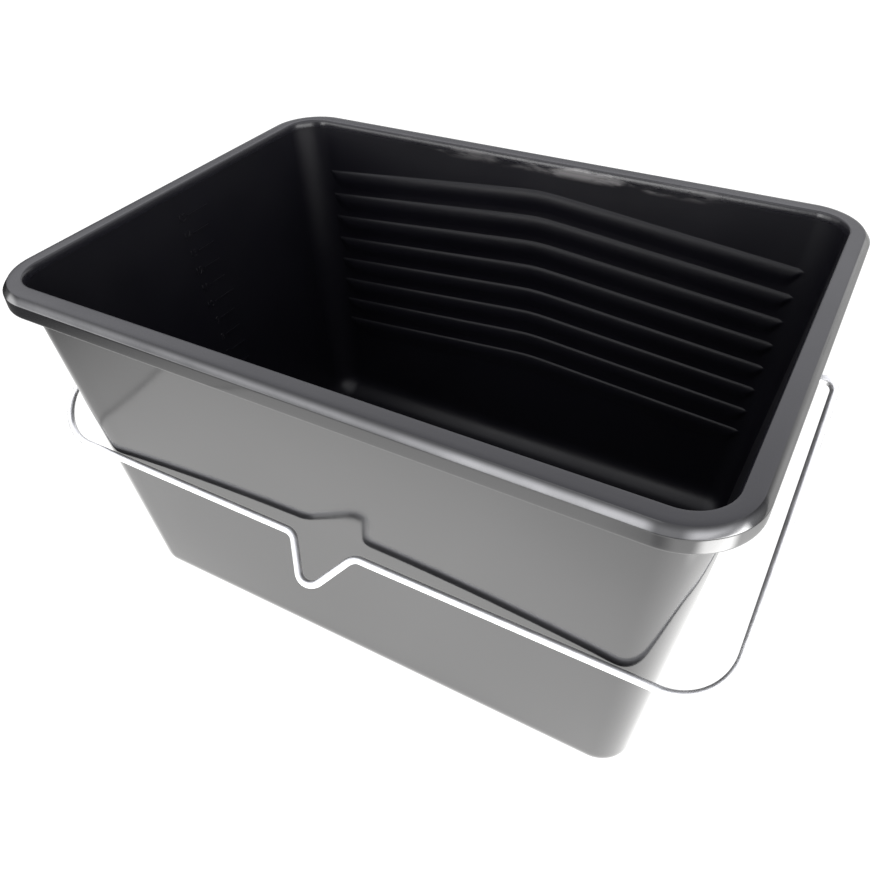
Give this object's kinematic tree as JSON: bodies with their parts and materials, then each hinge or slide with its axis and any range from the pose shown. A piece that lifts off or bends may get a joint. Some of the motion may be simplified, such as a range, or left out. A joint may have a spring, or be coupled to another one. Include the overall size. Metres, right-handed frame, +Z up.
{
  "type": "paint scuttle",
  "caption": "Deep rectangular plastic paint tub with drafted walls, a turned-down rim, chevron roller ribs on one inner wall and a swinging wire handle with a hanging notch.",
  "frame": {"origin": "centre of the base, on the plane it stands on", "axes": "+X along the long side and the handle's pivot line, +Y towards the wall with the roller ribs, +Z up"},
  "size_m": [0.403, 0.2783, 0.215],
  "materials": {
    "tub": "glossy black injection-moulded polypropylene",
    "wire_handle": "bright zinc-plated steel wire"
  },
  "bodies": {
    "tub_body": {"tub": "tub"},
    "handle_body": {"wire_handle": "wire_handle"}
  },
  "joints": [
    {"name": "handle_swing", "type": "hinge", "parent": "tub_body", "child": "handle_body", "pos_m": [0, 0, 0.196], "axis": [-1, 0, 0], "range_deg": [0, 254]}
  ]
}
